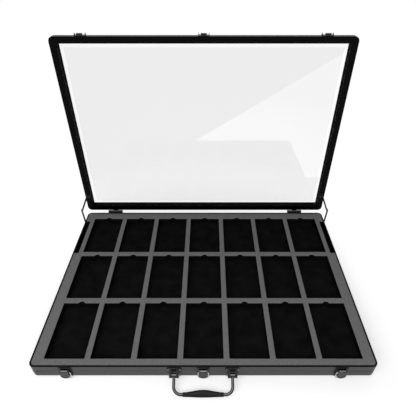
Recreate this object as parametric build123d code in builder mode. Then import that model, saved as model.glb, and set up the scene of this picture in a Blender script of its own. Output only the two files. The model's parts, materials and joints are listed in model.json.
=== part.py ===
from build123d import *

import os
from math import cos, radians, sin, sqrt

# Graded card display case: an aluminium framed tray for card slabs under a hinged window lid.
# Millimetres. X runs to the right, Y to the hinge side, Z up. The origin is the centre of the
# bottom panel's underside. The lid is drawn closed and then turned up to its open rest angle.

os.makedirs("parts", exist_ok=True)

# Case body
case_width = 730.0
case_depth = 505.0
base_height = 38.0
corner_radius = 12.0
corner_reach = 24.0
wall = 2.2
rim_lip = 3.5
rim_lip_thickness = 2.0
flange_width = 22.0
flange_thickness = 2.2
panel_recess = 1.8
base_bottom_round = 3.0
base_top_round = 1.2
groove_height = 3.0
groove_depth = 0.8
panel_thickness = 3.0
fit_gap = 0.2

# Feet
foot_height = 2.5
foot_radius = 8.0
foot_inset = 12.0
foot_chamfer = 0.8
foot_screw_radius = 3.0
foot_screw_head = 0.6
foot_recess = 1.4

# Foam
slot_columns = 7
slot_rows = 3
slot_width = 86.0
slot_length = 142.0
slot_depth = 17.5
column_gap = 12.2
row_gap = 15.4
front_margin = 18.3
foam_below_rim = 1.0
notch_radius = 9.0
notch_bite = 5.0

# Lid
lid_height = 18.0
lid_gap = 0.4
lid_round = 4.0
lid_rail = 16.0
lid_lip = 18.0
lid_lip_thickness = 2.0
lid_line_height = 1.4
lid_line_depth = 0.5
lid_line_rise = 4.0
pane_groove = 8.0
pane_groove_height = 4.0
pane_thickness = 3.0
pane_edge_gap = 1.6
gasket_reach = 16.8
lid_wall = 1.8
open_angle = 92.0

# Hinges
hinge_x = 281.0
hinge_width = 44.0
hinge_offset = 5.4
hinge_rise = 1.0
knuckle_radius = 3.6
hinge_pin_radius = 1.75
running_gap = 0.05
knuckle_gap = 0.3
leaf_thickness = 1.5
base_leaf_height = 27.0
lid_leaf_height = 13.0
hinge_screw_x = 14.0
screw_radius = 3.0
screw_head = 1.0

# Folding stays: hinge, lid pivot, elbow and base pivot make a parallelogram
stay_lid_reach = 61.0
stay_lid_drop = 7.0
stay_base_reach = 56.0
stay_base_drop = 8.0
stay_width = 8.0
stay_thickness = 1.6
stay_layer = 0.4
stay_lip_gap = 0.4
stay_pin_radius = 1.5
stay_pin_gap = 0.08
stay_bracket_thickness = 1.1
stay_bracket_length = 24.0
stay_bracket_height = 9.6
stay_foot_length = 18.0
stay_foot_width = 7.0
stay_foot_thickness = 1.2
elbow_head_radius = 3.0
elbow_head = 0.9
channel_width = 12.0
channel_front_room = 64.0
channel_rear_room = 8.0

# Latches
latch_spacing = 290.0
latch_width = 27.0
latch_corner = 2.0
latch_plate_height = 31.0
latch_plate_drop = 4.0
latch_plate_thickness = 1.5
lever_pivot_out = 4.6
lever_pivot_drop = 9.5
lever_pin_radius = 1.2
lever_half_width = 9.6
lever_flange = 1.0
lever_flange_reach = 1.9
lever_length = 24.0
lever_top = 1.9
lever_skin = 1.4
lever_edge_bevel = 0.6
ear_thickness = 1.2
ear_wall = 0.8
ear_side_gap = 0.4
ear_front_gap = 0.2
ear_rise = 1.0
ear_drop = 8.0
loop_pivot_out = 4.3
loop_pivot_drop = 16.0
loop_wire = 1.0
loop_wire_sides = 12
loop_side_gap = 0.3
loop_stub = 8.4
loop_corner = 4.0
loop_end_bend = 1.3
hook_bar_out = 3.0
hook_bar_rise = 4.0
hook_half_width = 7.0
hook_thickness = 1.4
hook_seat_gap = 0.2
hook_lip_gap = 0.6
hook_lip_rise = 7.0
strike_height = 13.0
strike_rise = 1.2
horn_thickness = 1.2
horn_out = 6.4
horn_height = 9.0
horn_radius = 1.8
rivet_x = 10.0
rivet_inset = 3.0
rivet_radius = 1.6
rivet_head = 0.6

# Handle
bracket_x = 61.0
bracket_width = 30.0
bracket_height = 30.0
bracket_thickness = 2.0
bracket_corner = 4.0
bracket_screw_x = 12.2
bracket_screw_z = 10.5
bracket_screw_radius = 2.0
bracket_screw_head = 0.8
lug_thickness = 4.6
lug_radius = 5.6
lug_root = 24.0
handle_pivot_out = 8.5
handle_pin_radius = 2.0
handle_pin_head = 0.8
handle_pin_head_radius = 3.4
boss_radius = 5.0
boss_width = 9.6
boss_side_gap = 0.3
rod_radius = 3.2
handle_reach = 36.0
handle_bend = 15.0
handle_droop = 23.0
grip_half_length = 42.0
grip_sections = 10
grip_end_half_width = 4.3
grip_end_half_height = 4.1
grip_swell_width = 2.9
grip_swell_height = 1.5
grip_arch = 1.8

# Levels and faces that the pieces share
rail_bottom_z = -panel_recess
flange_top_z = rail_bottom_z + flange_thickness
rim_z = rail_bottom_z + base_height
groove_z = rail_bottom_z + base_height / 2
floor_z = rail_bottom_z - foot_height
tray_top_z = rim_z - foam_below_rim
tray_bottom_z = tray_top_z - slot_depth
lid_z = rim_z + lid_gap
lid_top_z = lid_z + lid_height
lid_line_z = lid_z + lid_line_rise
pane_groove_top_z = lid_top_z - lid_lip_thickness
pane_groove_z = pane_groove_top_z - pane_groove_height
front_y = -case_depth / 2
rear_y = case_depth / 2
side_x = case_width / 2
hinge_y = rear_y + hinge_offset
hinge_z = rim_z + hinge_rise
lid_axis = Axis((0, hinge_y, hinge_z), (1, 0, 0))
tall = 4 * (base_height + lid_height)
sides = (("left", -1), ("right", 1))


def save(builder, name, on_lid=False):
    """Label a finished piece and write it, turned up about the hinge if it rides on the lid."""
    piece = builder.part
    if on_lid:
        piece = piece.rotate(lid_axis, -open_angle)
    piece.label = name
    export_step(piece, f"parts/{name}.step")


def turned(y, z, angle):
    """A point of the lid, given from the hinge axis, after the lid has opened by an angle."""
    c = cos(radians(angle))
    s = sin(radians(angle))
    return y * c + z * s, -y * s + z * c


def side_plane(side, x, y, z):
    """A plane that faces inward from one side of the case, with its second axis up."""
    return Plane((side * x, y, z), x_dir=(0, -side, 0), z_dir=(-side, 0, 0))


# Base frame: one outline, cut into four rails and four corner castings
with BuildPart() as base_ring:
    with BuildSketch(Plane.XY.offset(rail_bottom_z)):
        RectangleRounded(case_width, case_depth, corner_radius)
    extrude(amount=base_height)
    fillet(base_ring.faces().sort_by(Axis.Z)[0].edges(), base_bottom_round)
    fillet(base_ring.faces().sort_by(Axis.Z)[-1].edges(), base_top_round)
    with BuildSketch(Plane.XY.offset(flange_top_z)):
        RectangleRounded(case_width - 2 * wall, case_depth - 2 * wall, corner_radius - wall)
    extrude(amount=rim_z - rim_lip_thickness - flange_top_z, mode=Mode.SUBTRACT)
    with BuildSketch(Plane.XY.offset(rim_z)):
        RectangleRounded(case_width - 2 * rim_lip, case_depth - 2 * rim_lip, corner_radius - rim_lip)
    extrude(amount=-rim_lip_thickness, mode=Mode.SUBTRACT)
    with BuildSketch(Plane.XY.offset(flange_top_z)):
        Rectangle(case_width - 2 * flange_width, case_depth - 2 * flange_width)
    extrude(amount=-flange_thickness, mode=Mode.SUBTRACT)
    with BuildSketch(Plane.XY.offset(groove_z - groove_height / 2)):
        RectangleRounded(case_width, case_depth, corner_radius)
        RectangleRounded(
            case_width - 2 * groove_depth,
            case_depth - 2 * groove_depth,
            corner_radius - groove_depth,
            mode=Mode.SUBTRACT,
        )
    extrude(amount=groove_height, mode=Mode.SUBTRACT)

rail_run_x = case_width - 2 * corner_reach
rail_run_y = case_depth - 2 * corner_reach

for rail_name, rail_y in (("base_front_rail", front_y), ("base_rear_rail", rear_y)):
    with BuildPart() as base_rail:
        add(base_ring.part)
        with Locations((0, rail_y, rim_z)):
            Box(rail_run_x, 4 * flange_width, tall, mode=Mode.INTERSECT)
    save(base_rail, rail_name)

for side_name, side in sides:
    with BuildPart() as base_rail:
        add(base_ring.part)
        with Locations((side * side_x, 0, rim_z)):
            Box(4 * flange_width, rail_run_y, tall, mode=Mode.INTERSECT)
    save(base_rail, f"base_{side_name}_rail")

with BuildPart() as base_corners:
    add(base_ring.part)
    Box(rail_run_x, 2 * case_depth, tall, mode=Mode.SUBTRACT)
    Box(2 * case_width, rail_run_y, tall, mode=Mode.SUBTRACT)
save(base_corners, "base_corners")

# Bottom panel and the two foam layers
inner_width = case_width - 2 * (wall + fit_gap)
inner_depth = case_depth - 2 * (wall + fit_gap)
inner_radius = corner_radius - wall - fit_gap

with BuildPart() as bottom_panel:
    with BuildSketch(Plane.XY.offset(flange_top_z)):
        RectangleRounded(inner_width, inner_depth, inner_radius)
    extrude(amount=panel_thickness - flange_top_z)
    with BuildSketch(Plane.XY):
        Rectangle(
            case_width - 2 * (flange_width + fit_gap),
            case_depth - 2 * (flange_width + fit_gap),
        )
    extrude(amount=flange_top_z)
save(bottom_panel, "bottom_panel")

with BuildPart() as foam_underlay:
    with BuildSketch(Plane.XY.offset(panel_thickness)):
        RectangleRounded(inner_width, inner_depth, inner_radius)
    extrude(amount=tray_bottom_z - panel_thickness)
save(foam_underlay, "foam_underlay")

slot_pitch_x = slot_width + column_gap
slot_pitch_y = slot_length + row_gap
first_row_y = front_y + front_margin + slot_length / 2
middle_row_y = first_row_y + slot_pitch_y * (slot_rows - 1) / 2
notch_y = middle_row_y + slot_length / 2 + notch_bite - notch_radius
stay_base_y = hinge_y - stay_base_reach
stay_base_z = hinge_z - stay_base_drop
channel_front_y = hinge_y - stay_base_reach - stay_lid_reach - channel_front_room
channel_rear_y = stay_base_y + channel_rear_room
channel_length = channel_rear_y - channel_front_y
tray_inset = rim_lip + fit_gap
tray_half_width = side_x - tray_inset

with BuildPart() as foam_tray:
    with BuildSketch(Plane.XY.offset(tray_bottom_z)):
        RectangleRounded(
            2 * tray_half_width,
            case_depth - 2 * tray_inset,
            corner_radius - tray_inset,
        )
        with Locations((0, middle_row_y)):
            with GridLocations(slot_pitch_x, slot_pitch_y, slot_columns, slot_rows):
                Rectangle(slot_width, slot_length, mode=Mode.SUBTRACT)
        with Locations((0, notch_y)):
            with GridLocations(slot_pitch_x, slot_pitch_y, slot_columns, slot_rows):
                Circle(notch_radius, mode=Mode.SUBTRACT)
        with Locations((0, channel_rear_y - channel_length / 2)):
            with GridLocations(2 * tray_half_width, 0, 2, 1):
                Rectangle(2 * channel_width, channel_length, mode=Mode.SUBTRACT)
    extrude(amount=slot_depth)
save(foam_tray, "foam_tray")

# Feet and their screws, under the corner castings
foot_span_x = case_width - 2 * foot_inset
foot_span_y = case_depth - 2 * foot_inset

with BuildPart() as rubber_feet:
    with BuildSketch(Plane.XY.offset(floor_z)):
        with GridLocations(foot_span_x, foot_span_y, 2, 2):
            Circle(foot_radius)
    extrude(amount=foot_height)
    chamfer(rubber_feet.faces().group_by(Axis.Z)[0].edges(), foot_chamfer)
    with BuildSketch(Plane.XY.offset(floor_z)):
        with GridLocations(foot_span_x, foot_span_y, 2, 2):
            Circle(foot_screw_radius + fit_gap)
    extrude(amount=foot_recess, mode=Mode.SUBTRACT)
save(rubber_feet, "rubber_feet")

with BuildPart() as foot_screws:
    with BuildSketch(Plane.XY.offset(floor_z + foot_recess)):
        with GridLocations(foot_span_x, foot_span_y, 2, 2):
            Circle(foot_screw_radius)
    extrude(amount=-foot_screw_head)
    chamfer(foot_screws.faces().group_by(Axis.Z)[0].edges(), foot_screw_head / 2)
save(foot_screws, "foot_screws")

# Lid frame: one outline with a groove for the pane, cut into rails and corner castings
with BuildPart() as lid_ring:
    with BuildSketch(Plane.XY.offset(lid_z)):
        RectangleRounded(case_width, case_depth, corner_radius)
    extrude(amount=lid_height)
    fillet(lid_ring.faces().sort_by(Axis.Z)[-1].edges(), lid_round)
    with BuildSketch(Plane.XY.offset(lid_z)):
        Rectangle(case_width - 2 * lid_rail, case_depth - 2 * lid_rail)
    extrude(amount=pane_groove_z - lid_z, mode=Mode.SUBTRACT)
    with BuildSketch(Plane.XY.offset(pane_groove_z)):
        Rectangle(case_width - 2 * pane_groove, case_depth - 2 * pane_groove)
    extrude(amount=pane_groove_height, mode=Mode.SUBTRACT)
    with BuildSketch(Plane.XY.offset(lid_top_z)):
        Rectangle(case_width - 2 * lid_lip, case_depth - 2 * lid_lip)
    extrude(amount=-lid_lip_thickness, mode=Mode.SUBTRACT)
    with BuildSketch(Plane.XY.offset(lid_line_z)):
        RectangleRounded(case_width, case_depth, corner_radius)
        RectangleRounded(
            case_width - 2 * lid_line_depth,
            case_depth - 2 * lid_line_depth,
            corner_radius - lid_line_depth,
            mode=Mode.SUBTRACT,
        )
    extrude(amount=lid_line_height, mode=Mode.SUBTRACT)

chamber_width = lid_rail - 2 * lid_wall
chamber_height = pane_groove_z - lid_z - 2 * lid_wall
chamber_z = lid_z + lid_wall + chamber_height / 2
chamber_inset = lid_rail / 2

for rail_name, side in (("lid_front_rail", -1), ("lid_rear_rail", 1)):
    with BuildPart() as lid_rail_part:
        add(lid_ring.part)
        with Locations((0, side * rear_y, lid_z)):
            Box(rail_run_x, 4 * lid_rail, tall, mode=Mode.INTERSECT)
        with Locations((0, side * (rear_y - chamber_inset), chamber_z)):
            Box(rail_run_x, chamber_width, chamber_height, mode=Mode.SUBTRACT)
    save(lid_rail_part, rail_name, on_lid=True)

for side_name, side in sides:
    with BuildPart() as lid_rail_part:
        add(lid_ring.part)
        with Locations((side * side_x, 0, lid_z)):
            Box(4 * lid_rail, rail_run_y, tall, mode=Mode.INTERSECT)
        with Locations((side * (side_x - chamber_inset), 0, chamber_z)):
            Box(chamber_width, rail_run_y, chamber_height, mode=Mode.SUBTRACT)
    save(lid_rail_part, f"lid_{side_name}_rail", on_lid=True)

with BuildPart() as lid_corners:
    add(lid_ring.part)
    Box(rail_run_x, 2 * case_depth, tall, mode=Mode.SUBTRACT)
    Box(2 * case_width, rail_run_y, tall, mode=Mode.SUBTRACT)
save(lid_corners, "lid_corners", on_lid=True)

# Window pane in its gasket
pane_inset = pane_groove + pane_edge_gap
pane_z = pane_groove_z + (pane_groove_height - pane_thickness) / 2

with BuildPart() as window_pane:
    with BuildSketch(Plane.XY.offset(pane_z)):
        Rectangle(case_width - 2 * pane_inset, case_depth - 2 * pane_inset)
    extrude(amount=pane_thickness)
save(window_pane, "window_pane", on_lid=True)

with BuildPart() as window_gasket:
    with BuildSketch(Plane.XY.offset(pane_groove_z)):
        Rectangle(case_width - 2 * pane_groove, case_depth - 2 * pane_groove)
        Rectangle(case_width - 2 * gasket_reach, case_depth - 2 * gasket_reach, mode=Mode.SUBTRACT)
    extrude(amount=pane_groove_height)
    with BuildSketch(Plane.XY.offset(pane_z)):
        Rectangle(case_width - 2 * pane_inset, case_depth - 2 * pane_inset)
    extrude(amount=pane_thickness, mode=Mode.SUBTRACT)
save(window_gasket, "window_gasket", on_lid=True)

# Hinges: two outer knuckles on the base leaf, the middle one on the lid leaf
middle_knuckle = hinge_width / 3
outer_knuckle = (hinge_width - middle_knuckle) / 2 - knuckle_gap
outer_knuckle_x = hinge_width / 2 - outer_knuckle / 2
knuckle_arm = knuckle_radius - hinge_pin_radius - running_gap
knuckle_bore = hinge_pin_radius + running_gap
lid_leaf_z = hinge_z + knuckle_radius - knuckle_arm

for side_name, side in sides:
    centre_x = side * hinge_x

    with BuildPart() as base_leaf:
        with Locations((centre_x, rear_y, rim_z)):
            Box(
                hinge_width,
                leaf_thickness,
                base_leaf_height,
                align=(Align.CENTER, Align.MIN, Align.MAX),
            )
        for knuckle_x in (centre_x - outer_knuckle_x, centre_x + outer_knuckle_x):
            with BuildSketch(Plane.YZ.offset(knuckle_x - outer_knuckle / 2)):
                with Locations((hinge_y, hinge_z)):
                    Circle(knuckle_radius)
                with Locations((rear_y, hinge_z - knuckle_radius)):
                    Rectangle(hinge_offset, knuckle_arm, align=(Align.MIN, Align.MIN))
                with Locations((hinge_y, hinge_z)):
                    Circle(knuckle_bore, mode=Mode.SUBTRACT)
            extrude(amount=outer_knuckle)
    save(base_leaf, f"hinge_base_leaf_{side_name}")

    with BuildPart() as lid_leaf:
        with Locations((centre_x, rear_y, lid_leaf_z)):
            Box(
                hinge_width,
                leaf_thickness,
                lid_leaf_height,
                align=(Align.CENTER, Align.MIN, Align.MIN),
            )
        with BuildSketch(Plane.YZ.offset(centre_x - middle_knuckle / 2)):
            with Locations((hinge_y, hinge_z)):
                Circle(knuckle_radius)
            with Locations((rear_y, hinge_z + knuckle_radius)):
                Rectangle(hinge_offset, knuckle_arm, align=(Align.MIN, Align.MAX))
            with Locations((hinge_y, hinge_z)):
                Circle(knuckle_bore, mode=Mode.SUBTRACT)
        extrude(amount=middle_knuckle)
    save(lid_leaf, f"hinge_lid_leaf_{side_name}", on_lid=True)

    with BuildPart() as hinge_pin:
        with BuildSketch(Plane.YZ.offset(centre_x - hinge_width / 2)):
            with Locations((hinge_y, hinge_z)):
                Circle(hinge_pin_radius)
        extrude(amount=hinge_width)
    save(hinge_pin, f"hinge_pin_{side_name}")

leaf_face_y = rear_y + leaf_thickness
base_screw_z = rim_z - base_leaf_height / 2 - screw_radius
lid_screw_z = lid_leaf_z + lid_leaf_height / 2

for screw_name, screw_z, rides in (
    ("hinge_base_screws", base_screw_z, False),
    ("hinge_lid_screws", lid_screw_z, True),
):
    with BuildPart() as hinge_screws:
        with BuildSketch(Plane.XZ.offset(-leaf_face_y)):
            for centre_x in (-hinge_x, hinge_x):
                with Locations((centre_x, screw_z)):
                    with GridLocations(2 * hinge_screw_x, 0, 2, 1):
                        Circle(screw_radius)
        extrude(amount=-screw_head)
        chamfer(hinge_screws.faces().group_by(Axis.Y)[-1].edges(), screw_head / 2)
    save(hinge_screws, screw_name, on_lid=rides)

# Folding stays, drawn at the lid's open rest angle
lid_pivot_dy, lid_pivot_dz = turned(-stay_lid_reach, -stay_lid_drop, open_angle)
lid_pivot_y = hinge_y + lid_pivot_dy
lid_pivot_z = hinge_z + lid_pivot_dz
closed_pivot_y = hinge_y - stay_lid_reach
closed_pivot_z = hinge_z - stay_lid_drop
elbow_y = lid_pivot_y - stay_base_reach
elbow_z = lid_pivot_z - stay_base_drop
lower_link_length = sqrt(stay_lid_reach**2 + stay_lid_drop**2)
upper_link_length = sqrt(stay_base_reach**2 + stay_base_drop**2)
stay_hole_radius = stay_pin_radius + stay_pin_gap

wall_x = side_x - wall
lower_link_x = side_x - rim_lip - stay_lip_gap
upper_link_x = lower_link_x - stay_thickness - stay_layer
tab_x = upper_link_x - stay_thickness - stay_layer

for side_name, side in sides:
    with BuildPart() as stay_base_bracket:
        with BuildSketch(side_plane(side, wall_x, stay_base_y, stay_base_z)):
            SlotOverall(stay_bracket_length, stay_bracket_height)
        extrude(amount=stay_bracket_thickness)
        with BuildSketch(side_plane(side, wall_x, stay_base_y, stay_base_z)):
            Circle(stay_pin_radius)
        extrude(amount=wall_x - lower_link_x + stay_thickness)
    save(stay_base_bracket, f"stay_base_bracket_{side_name}")

    lower_plane = Plane(
        (side * lower_link_x, stay_base_y, stay_base_z),
        x_dir=(0, elbow_y - stay_base_y, elbow_z - stay_base_z),
        z_dir=(-side, 0, 0),
    )
    with BuildPart() as stay_lower_link:
        with BuildSketch(lower_plane):
            with Locations((lower_link_length / 2, 0)):
                SlotCenterToCenter(lower_link_length, stay_width)
            with Locations((0, 0), (lower_link_length, 0)):
                Circle(stay_hole_radius, mode=Mode.SUBTRACT)
        extrude(amount=stay_thickness)
    save(stay_lower_link, f"stay_lower_link_{side_name}")

    upper_plane = Plane(
        (side * upper_link_x, lid_pivot_y, lid_pivot_z),
        x_dir=(0, elbow_y - lid_pivot_y, elbow_z - lid_pivot_z),
        z_dir=(-side, 0, 0),
    )
    with BuildPart() as stay_upper_link:
        with BuildSketch(upper_plane):
            with Locations((upper_link_length / 2, 0)):
                SlotCenterToCenter(upper_link_length, stay_width)
            with Locations((0, 0), (upper_link_length, 0)):
                Circle(stay_hole_radius, mode=Mode.SUBTRACT)
        extrude(amount=stay_thickness)
    save(stay_upper_link, f"stay_upper_link_{side_name}")

    with BuildPart() as elbow_rivet:
        with BuildSketch(side_plane(side, lower_link_x, elbow_y, elbow_z)):
            Circle(stay_pin_radius)
        extrude(amount=2 * stay_thickness + stay_layer)
        with BuildSketch(side_plane(side, upper_link_x - stay_thickness, elbow_y, elbow_z)):
            Circle(elbow_head_radius)
        extrude(amount=elbow_head)
    save(elbow_rivet, f"stay_elbow_rivet_{side_name}")

    tab_plane = side_plane(side, tab_x, closed_pivot_y, closed_pivot_z)
    with BuildPart() as stay_lid_bracket:
        with BuildSketch(tab_plane):
            Circle(stay_width / 2)
            Rectangle(stay_width, lid_z - closed_pivot_z, align=(Align.CENTER, Align.MIN))
        extrude(amount=stay_thickness)
        with BuildSketch(tab_plane):
            with Locations((0, lid_z - closed_pivot_z)):
                Rectangle(stay_foot_length, stay_foot_thickness, align=(Align.CENTER, Align.MAX))
        extrude(amount=stay_foot_width)
        with BuildSketch(tab_plane):
            Circle(stay_pin_radius)
        extrude(amount=-(stay_thickness + stay_layer))
    save(stay_lid_bracket, f"stay_lid_bracket_{side_name}", on_lid=True)

# Latches: a plate with two ears, a lever over them, a wire loop on the lever, a strike above
latch_face_y = front_y - latch_plate_thickness
latch_top_z = rim_z - latch_plate_drop
latch_low_z = latch_top_z - latch_plate_height
lever_pivot_y = front_y - lever_pivot_out
lever_pivot_z = rim_z - lever_pivot_drop
lever_low_z = lever_pivot_z - lever_length
lever_bore = lever_pin_radius + running_gap
lever_inner_half_width = lever_half_width - lever_flange
ear_outer_x = lever_inner_half_width - ear_side_gap
ear_radius = lever_pin_radius + ear_wall
lever_skin_y = lever_pivot_y - ear_radius - ear_front_gap
lever_front_y = lever_skin_y - lever_skin
lever_back_y = lever_pivot_y + lever_flange_reach
loop_pivot_y = front_y - loop_pivot_out
loop_pivot_z = rim_z - loop_pivot_drop
loop_half_width = lever_half_width + loop_side_gap + loop_wire
hook_bar_y = front_y - hook_bar_out
hook_bar_z = rim_z + hook_bar_rise
hook_seat_z = hook_bar_z - loop_wire - hook_seat_gap
hook_lip_y = hook_bar_y - loop_wire - hook_lip_gap
hook_front_y = hook_lip_y - hook_thickness
loop_length = sqrt((hook_bar_y - loop_pivot_y) ** 2 + (hook_bar_z - loop_pivot_z) ** 2)
loop_low_z = loop_pivot_z - loop_length
strike_low_z = lid_z + strike_rise
strike_mid_z = strike_low_z + strike_height / 2
latch_places = (("left", -latch_spacing), ("centre", 0.0), ("right", latch_spacing))

for place_name, centre_x in latch_places:
    with BuildPart() as latch_plate:
        with BuildSketch(Plane.XZ.offset(-front_y)):
            with Locations((centre_x, (latch_top_z + latch_low_z) / 2)):
                RectangleRounded(latch_width, latch_plate_height, latch_corner)
        extrude(amount=latch_plate_thickness)
        for ear_x in (centre_x - ear_outer_x, centre_x + ear_outer_x - ear_thickness):
            with BuildSketch(Plane.YZ.offset(ear_x)):
                with Locations((lever_pivot_y, lever_pivot_z)):
                    Circle(ear_radius)
                with Locations((front_y, lever_pivot_z - ear_drop)):
                    Rectangle(
                        latch_plate_thickness,
                        ear_drop + ear_rise,
                        align=(Align.MAX, Align.MIN),
                    )
                make_hull()
                with Locations((lever_pivot_y, lever_pivot_z)):
                    Circle(lever_bore, mode=Mode.SUBTRACT)
            extrude(amount=ear_thickness)
    save(latch_plate, f"latch_plate_{place_name}")

    with BuildPart() as latch_lever:
        with BuildSketch(Plane.XZ.offset(-lever_back_y)):
            with Locations((centre_x, lever_low_z + lever_half_width)):
                Circle(lever_half_width)
                Rectangle(
                    2 * lever_half_width,
                    lever_length + lever_top - lever_half_width,
                    align=(Align.CENTER, Align.MIN),
                )
        extrude(amount=lever_back_y - lever_front_y)
        chamfer(latch_lever.faces().sort_by(Axis.Y)[0].edges(), lever_edge_bevel)
        with BuildSketch(Plane.XZ.offset(-lever_back_y)):
            with Locations((centre_x, lever_low_z + lever_half_width)):
                Circle(lever_inner_half_width)
                Rectangle(
                    2 * lever_inner_half_width,
                    2 * lever_length,
                    align=(Align.CENTER, Align.MIN),
                )
        extrude(amount=lever_back_y - lever_skin_y, mode=Mode.SUBTRACT)
        with BuildSketch(Plane.YZ.offset(centre_x - latch_width)):
            with Locations((lever_pivot_y, lever_pivot_z)):
                Circle(lever_bore)
            with Locations((loop_pivot_y, loop_pivot_z)):
                Circle(loop_wire + running_gap)
        extrude(amount=2 * latch_width, mode=Mode.SUBTRACT)
    save(latch_lever, f"latch_lever_{place_name}")

    with BuildPart() as latch_loop:
        with BuildLine(Plane.XZ.offset(-loop_pivot_y)) as loop_path:
            FilletPolyline(
                (centre_x - loop_stub, loop_pivot_z),
                (centre_x - loop_half_width, loop_pivot_z),
                (centre_x - loop_half_width, loop_low_z),
                (centre_x + loop_half_width, loop_low_z),
                (centre_x + loop_half_width, loop_pivot_z),
                (centre_x + loop_stub, loop_pivot_z),
                radius=[loop_end_bend, loop_corner, loop_corner, loop_end_bend],
            )
        with BuildSketch(Plane(origin=loop_path.line @ 0, z_dir=loop_path.line % 0)):
            RegularPolygon(loop_wire, loop_wire_sides)
        sweep()
    save(latch_loop, f"latch_loop_{place_name}")

    with BuildPart() as latch_strike:
        with BuildSketch(Plane.XZ.offset(-front_y)):
            with Locations((centre_x, strike_mid_z)):
                RectangleRounded(latch_width, strike_height, latch_corner)
        extrude(amount=latch_plate_thickness)
        with BuildSketch(Plane.YZ.offset(centre_x - hook_half_width)):
            with Locations((hook_front_y, hook_seat_z)):
                Rectangle(front_y - hook_front_y, hook_thickness, align=(Align.MIN, Align.MAX))
                Rectangle(
                    hook_thickness,
                    rim_z + hook_lip_rise - hook_seat_z,
                    align=(Align.MIN, Align.MIN),
                )
        extrude(amount=2 * hook_half_width)
        for horn_x in (centre_x - latch_width / 2, centre_x + latch_width / 2 - horn_thickness):
            with BuildSketch(Plane.YZ.offset(horn_x)):
                with Locations((front_y - horn_out + horn_radius, strike_mid_z)):
                    Circle(horn_radius)
                with Locations((front_y, strike_mid_z)):
                    Rectangle(latch_plate_thickness, horn_height, align=(Align.MAX, Align.CENTER))
                make_hull()
            extrude(amount=horn_thickness)
    save(latch_strike, f"latch_strike_{place_name}", on_lid=True)

with BuildPart() as latch_pins:
    for place_name, centre_x in latch_places:
        with BuildSketch(Plane.YZ.offset(centre_x - lever_half_width)):
            with Locations((lever_pivot_y, lever_pivot_z)):
                Circle(lever_pin_radius)
        extrude(amount=2 * lever_half_width)
save(latch_pins, "latch_pins")

for rivet_name, rivet_z, rides in (
    ("latch_plate_rivets", latch_low_z + rivet_inset, False),
    ("strike_rivets", strike_low_z + strike_height - rivet_inset, True),
):
    with BuildPart() as latch_rivets:
        with BuildSketch(Plane.XZ.offset(-latch_face_y)):
            with Locations((0, rivet_z)):
                with GridLocations(latch_spacing, 0, 3, 1):
                    with GridLocations(2 * rivet_x, 0, 2, 1):
                        Circle(rivet_radius)
        extrude(amount=rivet_head)
        chamfer(latch_rivets.faces().group_by(Axis.Y)[0].edges(), rivet_head / 2)
    save(latch_rivets, rivet_name, on_lid=rides)

# Carry handle: two brackets, a bent rod between their lugs and a grip on the rod
bracket_face_y = front_y - bracket_thickness
handle_pivot_y = front_y - handle_pivot_out
handle_pivot_z = groove_z
handle_bore = handle_pin_radius + running_gap
lug_inner_x = boss_width / 2 + boss_side_gap
lug_outer_x = lug_inner_x + lug_thickness
handle_plane = Plane(
    (0, handle_pivot_y, handle_pivot_z),
    x_dir=(1, 0, 0),
    z_dir=(0, sin(radians(handle_droop)), -cos(radians(handle_droop))),
)

for side_name, side in sides:
    centre_x = side * bracket_x
    with BuildPart() as handle_bracket:
        with BuildSketch(Plane.XZ.offset(-front_y)):
            with Locations((centre_x, groove_z)):
                RectangleRounded(bracket_width, bracket_height, bracket_corner)
        extrude(amount=bracket_thickness)
        for lug_x in (centre_x - lug_outer_x, centre_x + lug_inner_x):
            with BuildSketch(Plane.YZ.offset(lug_x)):
                with Locations((handle_pivot_y, handle_pivot_z)):
                    Circle(lug_radius)
                with Locations((front_y, handle_pivot_z)):
                    Rectangle(bracket_thickness, lug_root, align=(Align.MAX, Align.CENTER))
                make_hull()
                with Locations((handle_pivot_y, handle_pivot_z)):
                    Circle(handle_bore, mode=Mode.SUBTRACT)
            extrude(amount=lug_thickness)
    save(handle_bracket, f"handle_bracket_{side_name}")

with BuildPart() as handle_bail:
    with BuildLine(handle_plane) as bail_path:
        FilletPolyline(
            (-bracket_x, 0),
            (-bracket_x, handle_reach),
            (bracket_x, handle_reach),
            (bracket_x, 0),
            radius=handle_bend,
        )
    with BuildSketch(Plane(origin=bail_path.line @ 0, z_dir=bail_path.line % 0)):
        Circle(rod_radius)
    sweep()
    for centre_x in (-bracket_x, bracket_x):
        with BuildSketch(Plane.YZ.offset(centre_x - boss_width / 2)):
            with Locations((handle_pivot_y, handle_pivot_z)):
                Circle(boss_radius)
        extrude(amount=boss_width)
        with BuildSketch(Plane.YZ.offset(centre_x - boss_width)):
            with Locations((handle_pivot_y, handle_pivot_z)):
                Circle(handle_bore)
        extrude(amount=2 * boss_width, mode=Mode.SUBTRACT)
save(handle_bail, "handle_bail")

# The grip swells along a cosine, from its ends to a middle that leans toward the case
grip_bore = rod_radius + running_gap

with BuildPart() as handle_grip:
    for section in range(grip_sections + 1):
        share = 2 * section / grip_sections - 1
        swell = (1 + cos(radians(180 * share))) / 2
        section_x = share * grip_half_length
        section_y = handle_reach - swell * grip_arch
        half_width = grip_end_half_width + swell * grip_swell_width
        half_height = grip_end_half_height + swell * grip_swell_height
        section_origin = handle_plane.from_local_coords((section_x, section_y, 0))
        with BuildSketch(Plane(section_origin, x_dir=handle_plane.y_dir, z_dir=(1, 0, 0))):
            Ellipse(half_width, half_height)
    loft(ruled=True)
    bore_origin = handle_plane.from_local_coords((-2 * grip_half_length, handle_reach, 0))
    with BuildSketch(Plane(bore_origin, x_dir=handle_plane.y_dir, z_dir=(1, 0, 0))):
        Circle(grip_bore)
    extrude(amount=4 * grip_half_length, mode=Mode.SUBTRACT)
save(handle_grip, "handle_grip")

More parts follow.
